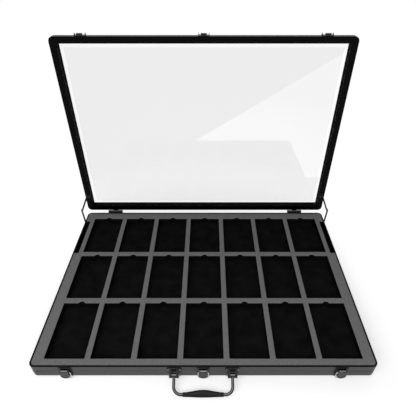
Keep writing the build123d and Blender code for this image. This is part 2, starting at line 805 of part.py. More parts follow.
with BuildPart() as handle_pins:
    for centre_x in (-bracket_x, bracket_x):
        with BuildSketch(Plane.YZ.offset(centre_x - lug_outer_x)):
            with Locations((handle_pivot_y, handle_pivot_z)):
                Circle(handle_pin_radius)
        extrude(amount=2 * lug_outer_x)
        with BuildSketch(Plane.YZ.offset(centre_x - lug_outer_x)):
            with Locations((handle_pivot_y, handle_pivot_z)):
                Circle(handle_pin_head_radius)
        extrude(amount=-handle_pin_head)
        with BuildSketch(Plane.YZ.offset(centre_x + lug_outer_x)):
            with Locations((handle_pivot_y, handle_pivot_z)):
                Circle(handle_pin_head_radius)
        extrude(amount=handle_pin_head)
save(handle_pins, "handle_pins")

with BuildPart() as bracket_screws:
    with BuildSketch(Plane.XZ.offset(-bracket_face_y)):
        with Locations((0, groove_z)):
            with GridLocations(2 * bracket_x, 0, 2, 1):
                with GridLocations(2 * bracket_screw_x, 2 * bracket_screw_z, 2, 2):
                    Circle(bracket_screw_radius)
    extrude(amount=bracket_screw_head)
    chamfer(bracket_screws.faces().group_by(Axis.Y)[0].edges(), bracket_screw_head / 2)
save(bracket_screws, "handle_bracket_screws")
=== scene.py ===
import json
from math import cos, radians

import bpy
from bpy.props import FloatProperty, FloatVectorProperty, IntProperty, PointerProperty
from mathutils import Matrix, Vector


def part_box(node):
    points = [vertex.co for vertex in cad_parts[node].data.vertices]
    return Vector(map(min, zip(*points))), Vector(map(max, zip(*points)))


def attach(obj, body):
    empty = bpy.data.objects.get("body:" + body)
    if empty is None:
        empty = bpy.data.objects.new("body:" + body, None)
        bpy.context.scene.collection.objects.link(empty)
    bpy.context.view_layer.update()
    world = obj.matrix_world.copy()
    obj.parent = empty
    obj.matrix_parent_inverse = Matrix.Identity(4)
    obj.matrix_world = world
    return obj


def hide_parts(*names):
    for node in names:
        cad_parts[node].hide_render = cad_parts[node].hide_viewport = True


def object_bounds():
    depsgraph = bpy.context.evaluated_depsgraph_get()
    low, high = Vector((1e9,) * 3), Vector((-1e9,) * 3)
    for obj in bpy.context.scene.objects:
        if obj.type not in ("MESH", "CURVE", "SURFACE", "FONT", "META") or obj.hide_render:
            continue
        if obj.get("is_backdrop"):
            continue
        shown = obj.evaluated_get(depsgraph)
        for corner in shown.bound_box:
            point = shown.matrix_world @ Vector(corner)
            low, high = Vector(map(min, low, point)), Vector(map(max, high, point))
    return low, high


# Looks of a graded card display case: an anodised frame with cut foam, a window lid held by
# folding stays, three draw latches and a carry handle. Metres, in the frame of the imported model.

bl_info = {
    "name": "Card display case",
    "version": (1, 0, 0),
    "blender": (4, 5, 0),
    "location": "View3D > Sidebar > Card case",
    "description": "Finishes, fasteners and stage of a card display case",
    "category": "Object",
}

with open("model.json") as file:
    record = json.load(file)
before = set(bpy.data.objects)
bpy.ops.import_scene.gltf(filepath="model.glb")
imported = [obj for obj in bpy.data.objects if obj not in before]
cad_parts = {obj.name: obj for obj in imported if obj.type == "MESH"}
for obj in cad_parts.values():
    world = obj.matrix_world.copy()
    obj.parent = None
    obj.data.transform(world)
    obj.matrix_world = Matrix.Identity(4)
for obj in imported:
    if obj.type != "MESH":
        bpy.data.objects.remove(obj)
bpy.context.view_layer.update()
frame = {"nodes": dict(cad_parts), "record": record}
record = frame["record"]
body_of = {
    node: body for body, nodes in record["behaviour"]["bodies"].items() for node in nodes
}

MM = 0.001
X_AXIS = 0
Y_AXIS = 1
Z_AXIS = 2

# The sRGB curve, as its standard gives it
SRGB_KNEE = 0.04045
SRGB_SLOPE = 12.92
SRGB_OFFSET = 0.055
SRGB_POWER = 2.4

# How a copy of a CAD node is merged, rounded and shaded
MERGE_DISTANCE = 0.002 * MM
FLAT_ANGLE = radians(0.4)
EDGE_ANGLE = radians(38)
SMOOTH_ANGLE = radians(34)
WIRE_SMOOTH_ANGLE = radians(60)
GRIP_EDGE = 0.5 * MM
GRIP_EDGE_ANGLE = radians(60)
GRIP_SMOOTH_ANGLE = radians(50)
# The handle brackets' edges are this many times as round as the other fittings' edges
BRACKET_ROUNDING = 2

# Height of the black band along the top of the base's rim, which is painted shade
RIM_PAINTED_SHADE_BAND = 2.0 * MM
# The foam's grey skin ends just below its soft shoulders, at this many of their widths; the walls
# below it are painted near-black as painted shade
PAINTED_SHADE_BELOW_SHOULDERS = 1.05

# A face whose normal has at least this share along an axis faces that way
MOSTLY = 0.9
SQUARELY = 0.99
# A lever's front face lies this close to the lever's foremost point
FRONT_TOLERANCE = 0.1 * MM
# The foam's top faces lie this close to its highest point, as a share of a shoulder's width
TOP_TOLERANCE = 0.1

# Screw and rivet heads, as shares of their height and radius, and their turns in degrees
DOME_HEIGHT = 0.7
DOME_PROFILE = 0.6
CROSS_LENGTH = 1.15
CROSS_WIDTH = 0.26
CROSS_HEIGHT = 1.4
CROSS_MIDDLE = 1.15
CROSS_TURNS = (0, 90)
FIRST_TURN = 17
NEXT_TURN = 41
# Heads are put in order by their places in metres, rounded to this many decimals
PLACE_DECIMALS = 4

# The open lid and the ways that faces look in the closed case
OPEN_ANGLE = radians(92)
CLOSED_FRONT = Vector((0, -1, 0))
CLOSED_REAR = Vector((0, 1, 0))
DOWN = Vector((0, 0, -1))
LID_TURN = Matrix.Rotation(-OPEN_ANGLE, 3, "X")

SIDES = ("left", "right")
PLACES = ("left", "centre", "right")
LATCH_NODES = ("latch_plate", "latch_strike")

# The stops of a noise between its two colours, and between its two roughnesses
DARK_STOP = 0.32
LIGHT_STOP = 0.68
NOISE_LOW = 0.3
NOISE_HIGH = 0.7
NOISE_ROUGHNESS = 0.55

# Sockets of a Mix node that mixes colours
MIX_FIRST = 6
MIX_SECOND = 7
MIX_COLOUR = 2
WHITE = (1.0, 1.0, 1.0, 1.0)
# What the pane lets through of lamps and bounced light
PASSING_TINT = "#dadada"

# The floor turns from partly lit paper to plain white between these distances from a centre
SHADOW_CENTRE = (0.0, -0.25, 0.0)
NEAR_FLOOR = 0.4
FAR_FLOOR = 0.9
# Near the case this share of the paper glows, at this strength
NEAR_SHARE = 0.27
NEAR_STRENGTH = 1.55
PAPER_COLOUR = "#fcfcfc"

# The pane mirrors a white card on the floor, whose edge runs between these points
CARD_EDGE_START = Vector((0.0, -0.41, 0.0))
CARD_EDGE_END = Vector((1.42, -2.5, 0.0))
# All else that the pane mirrors of the stage has this share of white
MIRRORED_DIM = 0.08

# A soft box overhead, seen in metal and enamel alone
SOFT_BOX_TOWARDS = Vector((-0.08, -0.12, 1.0)).normalized()
SOFT_BOX_EDGE = radians(32)
SOFT_BOX_CORE = radians(16)
SOFT_BOX_STRENGTH = 6.0

# Place, aim and size of the lamps, and the camera of the photograph
KEY_LAMP = ((-0.35, -1.05, 1.05), (0.0, -0.2, 0.0), (1.6, 0.9))
RIM_LAMP = ((0.7, 0.9, 1.3), (0.0, 0.1, 0.1), (0.8, 0.4))
CAMERA_PLACE = (0.00986, -0.64525, 0.77027)
CAMERA_TILT = radians(51.43)
SENSOR_WIDTH = 36.0


def linear(hex_colour):
    """An sRGB hex colour as linear red, green and blue, with an alpha of 1."""
    text = hex_colour.lstrip("#")
    light = []
    for start in (0, 2, 4):
        channel = int(text[start:start + 2], 16) / 255
        if channel <= SRGB_KNEE:
            light.append(channel / SRGB_SLOPE)
        else:
            light.append(((channel + SRGB_OFFSET) / (1 + SRGB_OFFSET)) ** SRGB_POWER)
    return (*light, 1.0)


def colour_value(name, description, hex_colour):
    """A colour that the sidebar can change."""
    return FloatVectorProperty(
        name=name,
        description=description,
        default=linear(hex_colour),
        subtype="COLOR",
        size=4,
        min=0.0,
        max=1.0,
    )


def length_value(name, description, millimetres):
    """A length that the sidebar can change."""
    return FloatProperty(
        name=name,
        description=description,
        default=millimetres * MM,
        unit="LENGTH",
        precision=5,
        min=0.0,
    )


class CardCaseColours(bpy.types.PropertyGroup):
    base_metal: colour_value("Base metal", "Dark grey anodising of the base frame", "#444445")
    # Painted shade: the rim's top is coloured black to stand for the shade it shows
    rim_painted_shade: colour_value("Rim metal", "Black anodising of the base's rim", "#0e0e0f")
    lid_metal: colour_value("Lid metal", "Black anodising of the lid frame", "#101011")
    foam_top: colour_value("Foam top", "Grey skin of the slotted foam", "#696969")
    # Painted shade: the slots' walls and floors are coloured near-black for the shade in them, and
    # the underlay foam itself is a real layer
    foam_painted_shade: colour_value("Foam cut", "Black body of the foam where it is cut", "#101010")
    underlay_painted_shade: colour_value("Underlay", "Black foam at the slots' floors", "#131313")
    hardware: colour_value("Hardware", "Black enamel of plates, brackets and hinges", "#0c0c0c")
    lever: colour_value("Levers", "Satin steel of the latch levers", "#3e3e3f")
    wire: colour_value("Wire", "Bright steel of the latch loops", "#c4c4c6")
    rod: colour_value("Rod", "Polished dark steel of the handle's rod", "#38383a")
    stay: colour_value("Stays", "Satin steel of the folding stays", "#4a4a4c")
    fastener: colour_value("Fasteners", "Steel of screws, rivets and pins", "#77777a")
    rubber: colour_value("Rubber", "Black rubber of grip, feet and gasket", "#0f0f0f")
    sheet: colour_value("Sheet", "Textured black sheet under the case", "#181818")
    glass: colour_value("Glass", "Tint of the window pane", "#f4f4f4")


class CardCaseSizes(bpy.types.PropertyGroup):
    frame_edge: length_value("Frame edge", "Broken edge of the cut extrusions", 0.35)
    hardware_edge: length_value("Hardware edge", "Rounded edge of stamped pieces", 0.22)
    foam_edge: length_value("Foam edge", "Soft shoulder of the cut foam", 1.1)
    shoulder_reach: length_value("Shoulder reach", "Depth of a shoulder's smooth shading", 2.5)
    clear_margin: length_value("Clear margin", "Polished clear margin round the pane", 9.0)
    lever_dish: length_value("Lever dish", "Depth of the dish pressed into a lever", 0.35)
    lever_rim: length_value("Lever rim", "Width of the rim round that dish", 1.5)


class CardCaseStage(bpy.types.PropertyGroup):
    floor_reach: length_value("Floor reach", "Half the floor's width", 9000.0)
    lens: FloatProperty(
        name="Lens", description="Focal length", default=31.93, min=1.0, unit="CAMERA"
    )
    key_power: FloatProperty(
        name="Key lamp", description="Power of the large lamp", default=14.5, subtype="POWER"
    )
    rim_power: FloatProperty(
        name="Rim lamp", description="Power of the lamp behind", default=2.0, subtype="POWER"
    )
    ambient: FloatProperty(
        name="Ambient", description="Even light from all round", default=0.42, min=0.0
    )
    screw_sides: IntProperty(
        name="Screw sides", description="Sides of a round head", default=28, min=12
    )


def add_node(owner, kind, values=None, links=None, **settings):
    """Add one node to a material or world, with its settings, sockets' values and links."""
    node = owner.node_tree.nodes.new(kind)
    for name, value in settings.items():
        setattr(node, name, value)
    for socket, value in (values or {}).items():
        node.inputs[socket].default_value = value
    for socket, source in (links or {}).items():
        owner.node_tree.links.new(source, node.inputs[socket])
    return node


def new_material(name):
    """An empty node material with a Principled shader on its output."""
    material = bpy.data.materials.new(name)
    material.use_nodes = True
    material.node_tree.nodes.clear()
    output = add_node(material, "ShaderNodeOutputMaterial")
    shader = add_node(material, "ShaderNodeBsdfPrincipled")
    material.node_tree.links.new(shader.outputs["BSDF"], output.inputs["Surface"])
    return material, shader


def pattern(material, size_mm, detail):
    """Noise in object space, whose grains measure size_mm along X, Y and Z."""
    place = add_node(material, "ShaderNodeTexCoord")
    mapping = add_node(
        material,
        "ShaderNodeMapping",
        values={"Scale": [1 / (size * MM) for size in size_mm]},
        links={"Vector": place.outputs["Object"]},
    )
    return add_node(
        material,
        "ShaderNodeTexNoise",
        values={"Scale": 1.0, "Detail": detail, "Roughness": NOISE_ROUGHNESS},
        links={"Vector": mapping.outputs["Vector"]},
    )


def shade(material, shader, noise, colour, spread):
    """Vary a colour a little, darker and lighter, by a noise."""
    dark = [channel * (1 - spread) for channel in colour[:3]] + [1.0]
    light = [min(1.0, channel * (1 + spread)) for channel in colour[:3]] + [1.0]
    ramp = add_node(material, "ShaderNodeValToRGB", links={"Fac": noise.outputs["Fac"]})
    ramp.color_ramp.elements[0].position = DARK_STOP
    ramp.color_ramp.elements[0].color = dark
    ramp.color_ramp.elements[1].position = LIGHT_STOP
    ramp.color_ramp.elements[1].color = light
    material.node_tree.links.new(ramp.outputs["Color"], shader.inputs["Base Color"])


def roughen(material, shader, noise, low, high):
    """Let the roughness follow a noise between two values."""
    spread = add_node(
        material,
        "ShaderNodeMapRange",
        values={
            "From Min": NOISE_LOW,
            "From Max": NOISE_HIGH,
            "To Min": low,
            "To Max": high,
        },
        links={"Value": noise.outputs["Fac"]},
    )
    material.node_tree.links.new(spread.outputs["Result"], shader.inputs["Roughness"])


def emboss(material, shader, noise, strength, depth_mm):
    """Raise the surface a little by a noise."""
    bump = add_node(
        material,
        "ShaderNodeBump",
        values={"Strength": strength, "Distance": depth_mm * MM},
        links={"Height": noise.outputs["Fac"]},
    )
    material.node_tree.links.new(bump.outputs["Normal"], shader.inputs["Normal"])


def anodised_extrusion(name, colour, along):
    """Anodised aluminium: a satin metal with fine lines, along the axis of an extrusion."""
    material, shader = new_material(name)
    shader.inputs["Metallic"].default_value = 1.0
    # Die lines are about 0.3 mm wide on the real rail, and drawn 2.2 mm wide so that they show
    line_width = 2.2
    line_length = 180.0
    size = [line_width, line_width, line_width]
    if along is not None:
        size[along] = line_length
    lines = pattern(material, size, detail=3.0)
    shade(material, shader, lines, colour, spread=0.09)
    roughen(material, shader, lines, low=0.32, high=0.46)
    emboss(material, shader, lines, strength=0.12, depth_mm=0.15)
    return material


def foam_skin(name, colour):
    """Closed cell foam with a heat sealed skin: matt, with an even pebbled grain."""
    material, shader = new_material(name)
    shader.inputs["Specular IOR Level"].default_value = 0.15
    shader.inputs["Roughness"].default_value = 0.92
    shader.inputs["Sheen Weight"].default_value = 0.06
    # Cells are about 0.6 mm across, and drawn 3 mm across so that the grain shows
    cells = pattern(material, size_mm=(3.0, 3.0, 3.0), detail=3.0)
    shade(material, shader, cells, colour, spread=0.14)
    emboss(material, shader, cells, strength=0.55, depth_mm=0.5)
    return material


def foam_painted_shade(name, colour):
    """Near-black foam for the cut walls and the underlay: painted shade of the slots, darker than
    the skin.
    """
    material, shader = new_material(name)
    shader.inputs["Specular IOR Level"].default_value = 0.0
    shader.inputs["Roughness"].default_value = 1.0
    # Broad patches come from the cutter's drag, 30 mm long on the real foam
    patches = pattern(material, size_mm=(30.0, 24.0, 10.0), detail=5.0)
    shade(material, shader, patches, colour, spread=0.3)
    return material


def moulded_rubber(name, colour):
    """Moulded rubber: deep black with a dull sheen and a fine spark eroded grain."""
    material, shader = new_material(name)
    shader.inputs["Specular IOR Level"].default_value = 0.14
    # The grain is about 0.2 mm, and drawn 1.5 mm so that it shows
    grain = pattern(material, size_mm=(1.5, 1.5, 1.5), detail=2.0)
    shade(material, shader, grain, colour, spread=0.15)
    roughen(material, shader, grain, low=0.5, high=0.68)
    emboss(material, shader, grain, strength=0.2, depth_mm=0.15)
    return material


def black_enamel(name, colour):
    """Stoved enamel on stamped steel: a soft gloss with slight orange peel."""
    material, shader = new_material(name)
    shader.inputs["Specular IOR Level"].default_value = 0.25
    shader.inputs["Coat Weight"].default_value = 0.08
    shader.inputs["Coat Roughness"].default_value = 0.2
    # The waves of orange peel are about 2 mm long
    peel = pattern(material, size_mm=(2.0, 2.0, 2.0), detail=1.5)
    shade(material, shader, peel, colour, spread=0.12)
    roughen(material, shader, peel, low=0.28, high=0.42)
    emboss(material, shader, peel, strength=0.12, depth_mm=0.12)
    return material


def steel(name, colour, grain_mm, low, high):
    """Ground or drawn steel: a grey metal whose gloss breaks up along its grain."""
    material, shader = new_material(name)
    shader.inputs["Metallic"].default_value = 1.0
    grain = pattern(material, grain_mm, detail=3.0)
    shade(material, shader, grain, colour, spread=0.12)
    roughen(material, shader, grain, low, high)
    emboss(material, shader, grain, strength=0.08, depth_mm=0.08)
    return material


def textured_sheet(name, colour):
    """Embossed plastic sheet: a leathery grain that keeps the underside dull."""
    material, shader = new_material(name)
    shader.inputs["Specular IOR Level"].default_value = 0.25
    # The embossed pebbles are about 1.5 mm across, and drawn 4 mm across so that they show
    leather = pattern(material, size_mm=(4.0, 4.0, 4.0), detail=4.0)
    shade(material, shader, leather, colour, spread=0.2)
    roughen(material, shader, leather, low=0.55, high=0.75)
    emboss(material, shader, leather, strength=0.5, depth_mm=0.4)
    return material


def edge_distance(material, margin):
    """How far a point of the pane lies outside the field that the margin surrounds."""
    low = Vector((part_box("lid_left_rail")[1].x, 0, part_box("lid_rear_rail")[1].z))
    high = Vector((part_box("lid_right_rail")[0].x, 0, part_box("lid_front_rail")[0].z))
    centre = (low + high) / 2
    place = add_node(material, "ShaderNodeTexCoord")
    axes = add_node(
        material, "ShaderNodeSeparateXYZ", links={"Vector": place.outputs["Object"]}
    )
    reaches = []
    for axis, index in (("X", X_AXIS), ("Z", Z_AXIS)):
        from_middle = add_node(
            material,
            "ShaderNodeMath",
            values={1: centre[index]},
            links={0: axes.outputs[axis]},
            operation="SUBTRACT",
        )
        reach = add_node(
            material,
            "ShaderNodeMath",
            links={0: from_middle.outputs["Value"]},
            operation="ABSOLUTE",
        )
        field = (high[index] - low[index]) / 2 - margin
        reaches.append(
            add_node(
                material,
                "ShaderNodeMath",
                values={1: field},
                links={0: reach.outputs["Value"]},
                operation="SUBTRACT",
            )
        )
    return add_node(
        material,
        "ShaderNodeMath",
        links={0: reaches[0].outputs["Value"], 1: reaches[1].outputs["Value"]},
        operation="MAXIMUM",
    )


def window_glass(name, colour, margin):
    """Cast acrylic: clear, glossy and faintly grey, with a whiter margin inside the frame."""
    material, shader = new_material(name)
    shader.inputs["Transmission Weight"].default_value = 1.0
    shader.inputs["Roughness"].default_value = 0.0
    shader.inputs["IOR"].default_value = 1.47
    distance = edge_distance(material, margin)
    step = add_node(
        material,
        "ShaderNodeMath",
        values={1: 0.0},
        links={0: distance.outputs["Value"]},
        operation="GREATER_THAN",
    )
    tint = add_node(
        material,
        "ShaderNodeMix",
        values={MIX_FIRST: colour, MIX_SECOND: WHITE},
        links={0: step.outputs["Value"]},
        data_type="RGBA",
    )
    material.node_tree.links.new(tint.outputs[MIX_COLOUR], shader.inputs["Base Color"])
    let_light_through(material, shader)
    return material


def let_light_through(material, shader):
    """Lamps and bounced light pass through the pane, so that what lies under it is lit."""
    path = add_node(material, "ShaderNodeLightPath")
    clear = add_node(
        material, "ShaderNodeBsdfTransparent", values={"Color": linear(PASSING_TINT)}
    )
    passing = add_node(
        material,
        "ShaderNodeMath",
        links={0: path.outputs["Is Shadow Ray"], 1: path.outputs["Is Diffuse Ray"]},
        operation="MAXIMUM",
    )
    mix = add_node(
        material,
        "ShaderNodeMixShader",
        links={
            0: passing.outputs["Value"],
            1: shader.outputs["BSDF"],
            2: clear.outputs["BSDF"],
        },
    )
    output = next(n for n in material.node_tree.nodes if n.type == "OUTPUT_MATERIAL")
    material.node_tree.links.new(mix.outputs["Shader"], output.inputs["Surface"])


def make_finishes(colours, sizes):
    """One material for each finish of the case, by name."""
    # Steel's grain is under 0.1 mm wide, and drawn 1.2 to 1.4 mm wide so that it shows
    satin = (1.2, 1.2, 1.2)
    ground = (1.4, 1.4, 12.0)
    drawn = (14.0, 1.4, 1.4)
    return {
        "base_along_x": anodised_extrusion("base_anodised_along_x", colours.base_metal, X_AXIS),
        "base_along_y": anodised_extrusion("base_anodised_along_y", colours.base_metal, Y_AXIS),
        "base_corner": anodised_extrusion("base_anodised_corner", colours.base_metal, None),
        "rim": anodised_extrusion("painted_shade_rim_black", colours.rim_painted_shade, None),
        "lid_along_x": anodised_extrusion("lid_anodised_along_x", colours.lid_metal, X_AXIS),
        "lid_along_z": anodised_extrusion("lid_anodised_along_z", colours.lid_metal, Z_AXIS),
        "lid_corner": anodised_extrusion("lid_anodised_corner", colours.lid_metal, None),
        "foam_skin": foam_skin("grey_foam_skin", colours.foam_top),
        "foam_painted_shade": foam_painted_shade("cut_foam_painted_shade", colours.foam_painted_shade),
        "underlay_painted_shade": foam_painted_shade("underlay_foam_painted_shade", colours.underlay_painted_shade),
        "rubber": moulded_rubber("moulded_black_rubber", colours.rubber),
        "hardware": black_enamel("black_stoved_enamel", colours.hardware),
        "lever": steel("satin_lever_steel", colours.lever, ground, low=0.28, high=0.42),
        "wire": steel("bright_drawn_wire", colours.wire, satin, low=0.1, high=0.2),
        "rod": steel("polished_rod_steel", colours.rod, drawn, low=0.12, high=0.24),
        "stay": steel("satin_stay_steel", colours.stay, satin, low=0.3, high=0.45),
        "fastener": steel(
            "plated_fastener_steel", colours.fastener, satin, low=0.22, high=0.36
        ),
        "sheet": textured_sheet("embossed_bottom_sheet", colours.sheet),
        "glass": window_glass("clear_window_glass", colours.glass, sizes.clear_margin),
    }


# Filled by main once the sidebar's values exist
finishes = {}


def only(piece):
    """Make one object the only selected and the active one."""
    bpy.ops.object.select_all(action="DESELECT")
    piece.select_set(True)
    bpy.context.view_layer.objects.active = piece


def edit_faces(piece, wanted):
    """Go to edit mode with just the faces selected whose centre and normal are wanted."""
    only(piece)
    bpy.ops.object.mode_set(mode="EDIT")
    bpy.ops.mesh.select_mode(type="FACE")
    bpy.ops.mesh.select_all(action="DESELECT")
    bpy.ops.object.mode_set(mode="OBJECT")
    for face in piece.data.polygons:
        face.select = wanted(face.center, face.normal)
    bpy.ops.object.mode_set(mode="EDIT")


def merged_copy(node, name):
    """A copy of a node's mesh with its loose triangles merged into whole faces."""
    mesh = frame["nodes"][node].data.copy()
    mesh.materials.clear()
    piece = bpy.data.objects.new(name, mesh)
    bpy.context.scene.collection.objects.link(piece)
    only(piece)
    bpy.ops.mesh.customdata_custom_splitnormals_clear()
    bpy.ops.object.mode_set(mode="EDIT")
    bpy.ops.mesh.select_all(action="SELECT")
    bpy.ops.mesh.remove_doubles(threshold=MERGE_DISTANCE)
    bpy.ops.mesh.dissolve_limited(angle_limit=FLAT_ANGLE)
    bpy.ops.object.mode_set(mode="OBJECT")
    return piece


def apply_modifier(piece, modifier):
    """Apply a modifier of the piece to its mesh."""
    only(piece)
    bpy.ops.object.modifier_apply(modifier=modifier.name)


def soften(piece, width, segments=2):
    """Round every sharp edge of a piece and smooth its shading, with flat faces kept flat."""
    bevel = piece.modifiers.new("rounded_edges", "BEVEL")
    bevel.width = width
    bevel.segments = segments
    bevel.limit_method = "ANGLE"
    bevel.angle_limit = EDGE_ANGLE
    apply_modifier(piece, bevel)
    bpy.ops.object.shade_smooth_by_angle(angle=SMOOTH_ANGLE)
    flat = piece.modifiers.new("flat_faces", "WEIGHTED_NORMAL")
    flat.weight = 100
    flat.keep_sharp = True
    apply_modifier(piece, flat)


def hand_over(piece, node, *materials):
    """Put a finished piece in the place of a node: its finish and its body."""
    for material in materials:
        piece.data.materials.append(material)
    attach(piece, body_of[node])
    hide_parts(node)


def finished_copy(node, finish, width, segments=2):
    """Replace a rigid node by a copy with rounded edges and its own finish."""
    piece = merged_copy(node, f"{node}_finished")
    soften(piece, width, segments)
    hand_over(piece, node, finishes[finish])


def loose_solids(node):
    """The vertices of each separate solid in a node, as lists of points."""
    merged_copy(node, f"{node}_solids")
    bpy.ops.object.mode_set(mode="EDIT")
    bpy.ops.mesh.select_all(action="SELECT")
    bpy.ops.mesh.separate(type="LOOSE")
    bpy.ops.object.mode_set(mode="OBJECT")
    solids = []
    for part in list(bpy.context.selected_objects):
        solids.append([vertex.co.copy() for vertex in part.data.vertices])
        bpy.data.objects.remove(part)
    return sorted(
        solids,
        key=lambda points: (
            round(points[0].x, PLACE_DECIMALS),
            round(points[0].z, PLACE_DECIMALS),
        ),
    )


def head_seats(node, outward):
    """Where each head of a node sits: its seat's centre, its radius and its height."""
    seats = []
    for points in loose_solids(node):
        middle = (max(p.x for p in points) + min(p.x for p in points)) / 2
        radius = (max(p.x for p in points) - min(p.x for p in points)) / 2
        depths = [p.dot(outward) for p in points]
        across = outward.cross(Vector((1, 0, 0)))
        heights = [p.dot(across) for p in points]
        level = (max(heights) + min(heights)) / 2
        seat = Vector((middle, 0, 0)) + outward * min(depths) + across * level
        seats.append((seat, radius, max(depths) - min(depths)))
    return seats


def round_head(name, radius, height, sides):
    """A domed head that stands on the origin and points up."""
    bpy.ops.object.select_all(action="DESELECT")
    bpy.ops.mesh.primitive_cylinder_add(vertices=sides, radius=radius, depth=height)
    head = bpy.context.object
    head.name = name
    edit_faces(head, lambda centre, normal: normal.z > MOSTLY)
    bpy.ops.mesh.bevel(offset=height * DOME_HEIGHT, segments=4, profile=DOME_PROFILE)
    bpy.ops.mesh.select_all(action="SELECT")
    bpy.ops.transform.translate(value=(0, 0, height / 2))
    bpy.ops.object.mode_set(mode="OBJECT")
    return head


def cut_cross(head, radius, height):
    """Sink a cross recess into a head."""
    size = (CROSS_LENGTH * radius, CROSS_WIDTH * radius, CROSS_HEIGHT * height)
    for turn in CROSS_TURNS:
        bpy.ops.object.select_all(action="DESELECT")
        bpy.ops.mesh.primitive_cube_add(size=1.0)
        blade = bpy.context.object
        bpy.ops.object.mode_set(mode="EDIT")
        bpy.ops.mesh.select_all(action="SELECT")
        bpy.ops.transform.resize(value=size)
        bpy.ops.transform.translate(value=(0, 0, CROSS_MIDDLE * height))
        bpy.ops.object.mode_set(mode="OBJECT")
        blade.data.transform(Matrix.Rotation(radians(turn), 4, "Z"))
        cut = head.modifiers.new("cross_recess", "BOOLEAN")
        cut.object = blade
        cut.operation = "DIFFERENCE"
        cut.solver = "EXACT"
        apply_modifier(head, cut)
        bpy.data.objects.remove(blade)


def replace_heads(node, outward, with_cross, sides):
    """Model one head and copy it to every seat of a node, turned to face outward."""
    seats = head_seats(node, outward)
    _, radius, height = seats[0]
    head = round_head(f"{node}_head", radius, height, sides)
    if with_cross:
        cut_cross(head, radius, height)
    facing = Vector((0, 0, 1)).rotation_difference(outward).to_matrix().to_4x4()
    copies = []
    for number, (seat, _, _) in enumerate(seats):
        turn = Matrix.Rotation(radians(FIRST_TURN + NEXT_TURN * number), 4, "Z")
        copy = bpy.data.objects.new(f"{node}_{number}", head.data.copy())
        copy.data.transform(Matrix.Translation(seat) @ facing @ turn)
        bpy.context.scene.collection.objects.link(copy)
        copies.append(copy)
    bpy.data.objects.remove(head)
    bpy.ops.object.select_all(action="DESELECT")
    for copy in copies:
        copy.select_set(True)
    bpy.context.view_layer.objects.active = copies[0]
    bpy.ops.object.join()
    piece = bpy.context.object
    piece.name = f"{node}_finished"
    bpy.ops.object.shade_smooth_by_angle(angle=SMOOTH_ANGLE)
    hand_over(piece, node, finishes["fastener"])


class CARDCASE_OT_base_frame(bpy.types.Operator):
    """Finish the base's rails and corners"""

    bl_idname = "card_case.base_frame"
    bl_label = "Base frame"

    def execute(self, context):
        edge = context.scene.card_case_sizes.frame_edge
        for node, finish in (
            ("base_front_rail", "base_along_x"),
            ("base_rear_rail", "base_along_x"),
            ("base_left_rail", "base_along_y"),
            ("base_right_rail", "base_along_y"),
            ("base_corners", "base_corner"),
        ):
            self.make_rail(node, finish, edge)
        return {"FINISHED"}

    def make_rail(self, node, finish, edge):
        """Finish a rail in grey, with its narrow rim painted black as painted shade."""
        rail = merged_copy(node, f"{node}_finished")
        soften(rail, edge)
        hand_over(rail, node, finishes[finish], finishes["rim"])
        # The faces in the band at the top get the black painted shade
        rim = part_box(node)[1].z - RIM_PAINTED_SHADE_BAND
        for face in rail.data.polygons:
            face.material_index = 1 if face.center.z > rim else 0


class CARDCASE_OT_lid_frame(bpy.types.Operator):
    """Finish the lid's rails and corners"""

    bl_idname = "card_case.lid_frame"
    bl_label = "Lid frame"

    def execute(self, context):
        edge = context.scene.card_case_sizes.frame_edge
        for node, finish in (
            ("lid_front_rail", "lid_along_x"),
            ("lid_rear_rail", "lid_along_x"),
            ("lid_left_rail", "lid_along_z"),
            ("lid_right_rail", "lid_along_z"),
            ("lid_corners", "lid_corner"),
        ):
            finished_copy(node, finish, edge)
        return {"FINISHED"}


class CARDCASE_OT_window(bpy.types.Operator):
    """Finish the window pane and its gasket"""

    bl_idname = "card_case.window"
    bl_label = "Window"

    def execute(self, context):
        edge = context.scene.card_case_sizes.hardware_edge
        pane = merged_copy("window_pane", "window_pane_finished")
        soften(pane, edge)
        hand_over(pane, "window_pane", finishes["glass"])
        finished_copy("window_gasket", "rubber", edge)
        return {"FINISHED"}


